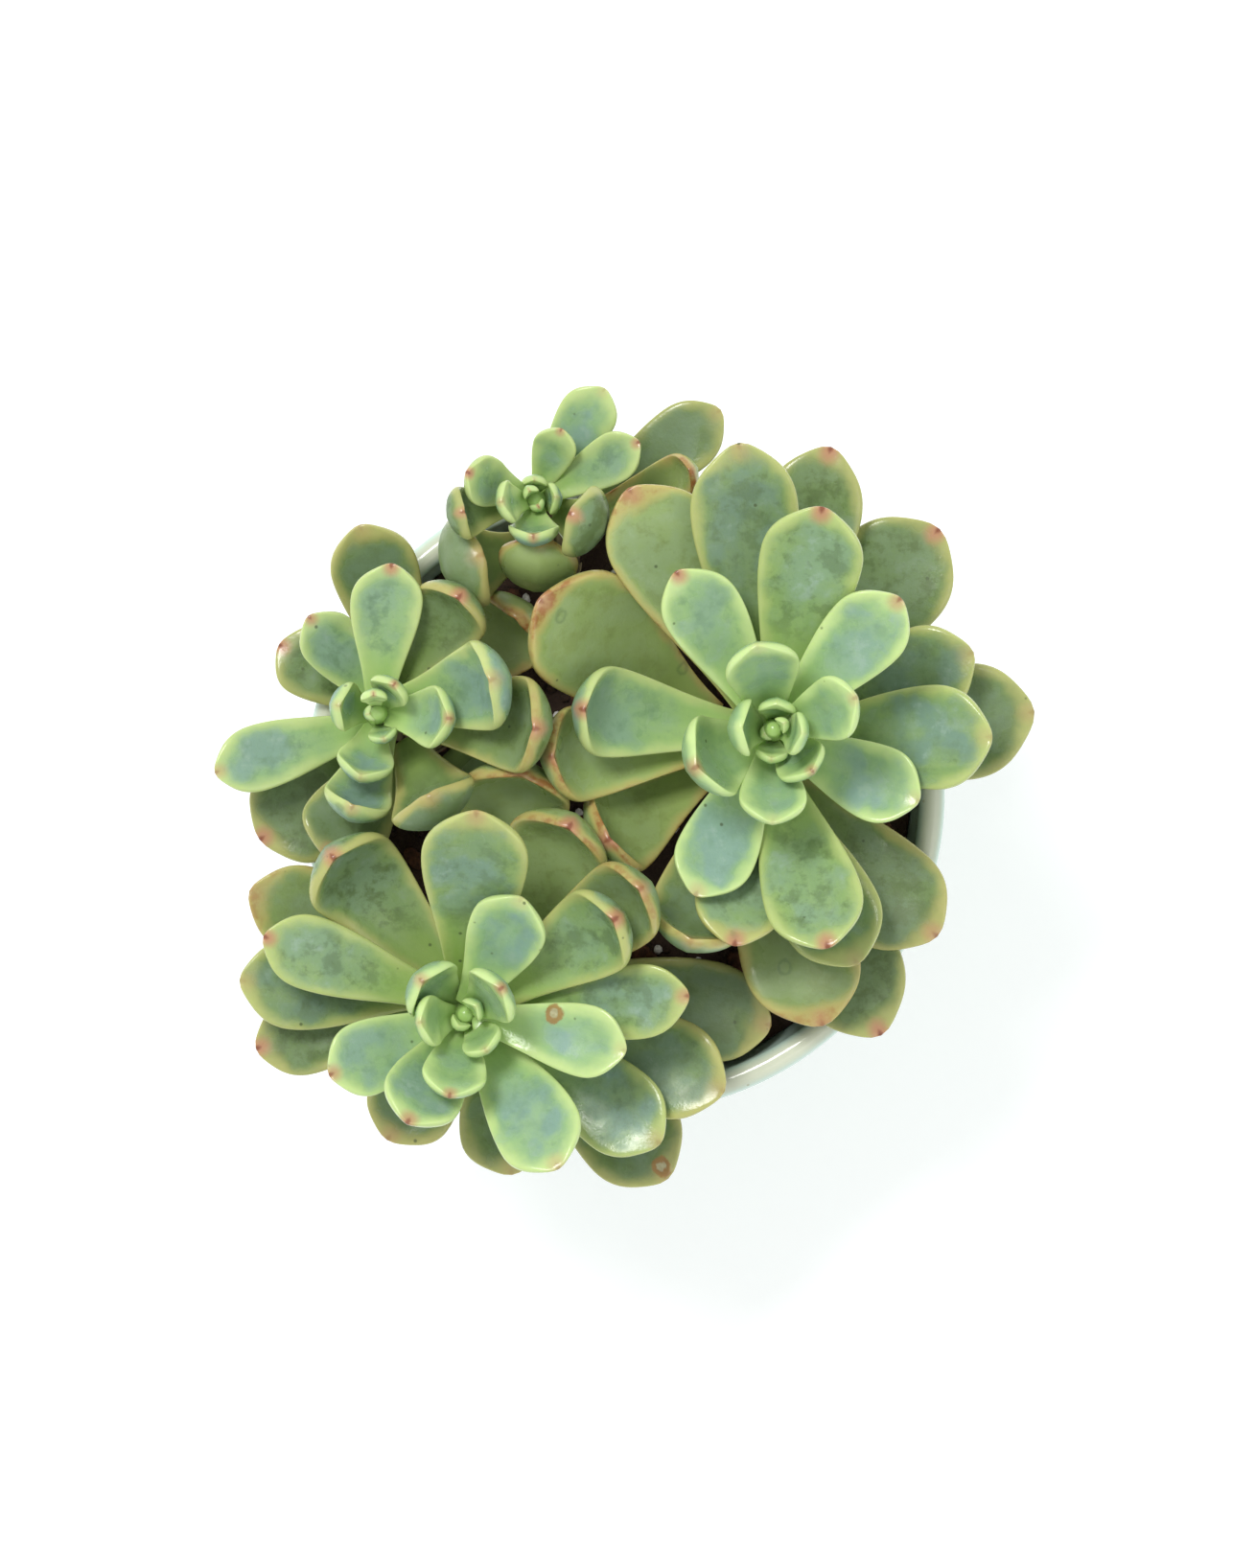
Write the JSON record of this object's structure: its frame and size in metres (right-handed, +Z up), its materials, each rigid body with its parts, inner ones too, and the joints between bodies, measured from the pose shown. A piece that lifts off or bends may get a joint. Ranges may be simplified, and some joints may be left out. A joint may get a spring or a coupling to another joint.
{
  "type": "potted succulent",
  "caption": "Clump of fleshy blue-green succulent rosettes with pale rims and red tips, growing in a round glazed pot.",
  "frame": {"origin": "middle of the pot's foot, on the surface that the pot stands on", "axes": "+Z up along the pot's axis; seen from above, +X points to the largest rosette's side and +Y away from a viewer in front, towards the smallest rosette"},
  "size_m": [0.1518, 0.1502, 0.1528],
  "materials": {
    "leaf_flesh": "satin",
    "leaf_young": "satin",
    "stem_bark": "matte",
    "potting_mix": "matte",
    "pot_glaze": "gloss"
  },
  "bodies": {
    "root": {"back_heart": "leaf_young", "back_leaf_01": "leaf_flesh", "back_leaf_02": "leaf_flesh", "back_leaf_03": "leaf_flesh", "back_leaf_04": "leaf_flesh", "back_leaf_05": "leaf_flesh", "back_leaf_06": "leaf_flesh", "back_stem": "stem_bark", "front_heart": "leaf_young", "front_leaf_01": "leaf_flesh", "front_leaf_02": "leaf_flesh", "front_leaf_03": "leaf_flesh", "front_leaf_04": "leaf_flesh", "front_leaf_05": "leaf_flesh", "front_leaf_06": "leaf_flesh", "front_leaf_07": "leaf_flesh", "front_leaf_08": "leaf_flesh", "front_leaf_09": "leaf_flesh", "front_leaf_10": "leaf_flesh", "front_leaf_11": "leaf_flesh", "front_leaf_12": "leaf_flesh", "front_leaf_13": "leaf_flesh", "front_leaf_14": "leaf_flesh", "front_leaf_15": "leaf_flesh", "front_leaf_16": "leaf_flesh", "front_leaf_17": "leaf_flesh", "front_stem": "stem_bark", "left_heart": "leaf_young", "left_leaf_01": "leaf_flesh", "left_leaf_02": "leaf_flesh", "left_leaf_03": "leaf_flesh", "left_leaf_04": "leaf_flesh", "left_leaf_05": "leaf_flesh", "left_leaf_06": "leaf_flesh", "left_leaf_07": "leaf_flesh", "left_leaf_08": "leaf_flesh", "left_leaf_09": "leaf_flesh", "left_stem": "stem_bark", "main_heart": "leaf_young", "main_leaf_01": "leaf_flesh", "main_leaf_02": "leaf_flesh", "main_leaf_03": "leaf_flesh", "main_leaf_04": "leaf_flesh", "main_leaf_05": "leaf_flesh", "main_leaf_06": "leaf_flesh", "main_leaf_07": "leaf_flesh", "main_leaf_08": "leaf_flesh", "main_leaf_09": "leaf_flesh", "main_leaf_10": "leaf_flesh", "main_leaf_11": "leaf_flesh", "main_leaf_12": "leaf_flesh", "main_leaf_13": "leaf_flesh", "main_leaf_14": "leaf_flesh", "main_leaf_15": "leaf_flesh", "main_leaf_16": "leaf_flesh", "main_leaf_17": "leaf_flesh", "main_leaf_18": "leaf_flesh", "main_stem": "stem_bark", "pot": "pot_glaze", "soil": "potting_mix"}
  },
  "joints": []
}
